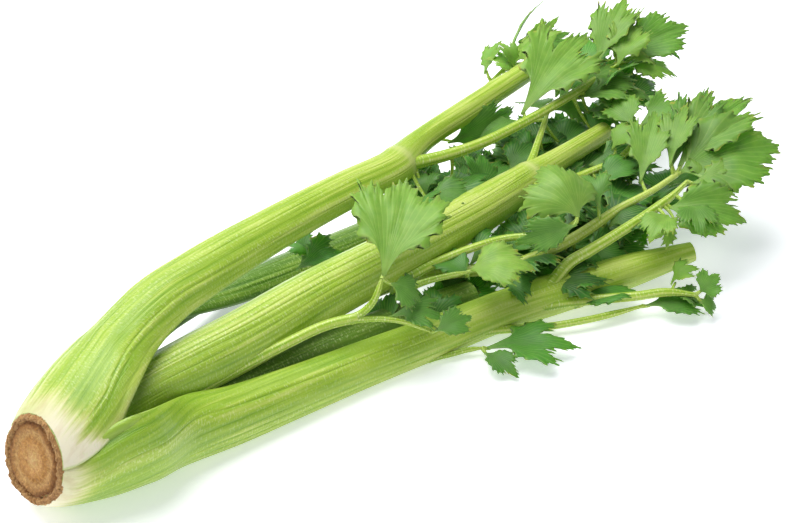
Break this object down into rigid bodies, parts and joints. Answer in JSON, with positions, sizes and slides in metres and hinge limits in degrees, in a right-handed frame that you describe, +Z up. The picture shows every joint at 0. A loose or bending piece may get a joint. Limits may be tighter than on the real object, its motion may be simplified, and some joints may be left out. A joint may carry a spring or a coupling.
{
  "type": "head of celery",
  "caption": "Whole head of celery lying on its side: a cut butt, channelled ribbed stalks that spread from it, thin leaf stems and lobed leaves.",
  "frame": {"origin": "on the surface the head lies on, under the middle of its box", "axes": "+X along the head from the cut butt to the leaf tips, +Y to the side where the far stalk lies, +Z up"},
  "size_m": [0.4566, 0.2022, 0.0797],
  "materials": {
    "butt": "dry corky cut face with a browned rim",
    "stalk": "ribbed waxy skin, white at the base and green above",
    "heart_stalk": "smooth waxy pale green skin",
    "leaf_stem": "smooth waxy skin with fine ribs",
    "leaf": "soft sheen, pale sunken veins"
  },
  "bodies": {
    "root": {"butt": "butt", "stalk_back": "stalk", "stalk_front": "stalk", "stalk_far": "stalk", "stalk_middle": "stalk", "stalk_inner": "stalk", "heart_stalk_front": "heart_stalk", "heart_stalk_right": "heart_stalk", "leaf_stem_heart": "leaf_stem", "leaf_stem_heart_low": "leaf_stem", "leaf_stem_middle_low": "leaf_stem", "leaf_stem_middle_short": "leaf_stem", "leaf_stem_back": "leaf_stem", "leaf_stem_back_far": "leaf_stem", "leaf_stem_middle_far": "leaf_stem", "leaf_stem_middle": "leaf_stem", "leaf_stem_middle_down": "leaf_stem", "leaf_stem_front": "leaf_stem", "leaf_stem_front_low": "leaf_stem", "leaf_stem_floor_right": "leaf_stem", "leaf_stem_floor_left": "leaf_stem", "leaf_back_1": "leaf", "leaf_back_2": "leaf", "leaf_back_3": "leaf", "leaf_back_4": "leaf", "leaf_back_5": "leaf", "leaf_back_6": "leaf", "leaf_far_1": "leaf", "leaf_far_2": "leaf", "leaf_far_3": "leaf", "leaf_far_4": "leaf", "leaf_between_1": "leaf", "leaf_between_2": "leaf", "leaf_between_3": "leaf", "leaf_middle_far_1": "leaf", "leaf_middle_far_2": "leaf", "leaf_middle_1": "leaf", "leaf_middle_2": "leaf", "leaf_middle_3": "leaf", "leaf_middle_4": "leaf", "leaf_middle_low_1": "leaf", "leaf_middle_low_2": "leaf", "leaf_middle_short_1": "leaf", "leaf_heart_1": "leaf", "leaf_heart_2": "leaf", "leaf_heart_3": "leaf", "leaf_right_1": "leaf", "leaf_right_2": "leaf", "leaf_right_3": "leaf", "leaf_right_4": "leaf", "leaf_right_5": "leaf", "leaf_front_1": "leaf", "leaf_front_2": "leaf", "leaf_front_3": "leaf", "leaf_front_low_1": "leaf", "leaf_front_low_2": "leaf", "leaf_floor_right": "leaf", "leaf_floor_left": "leaf", "leaf_floor_low": "leaf"}
  },
  "joints": []
}
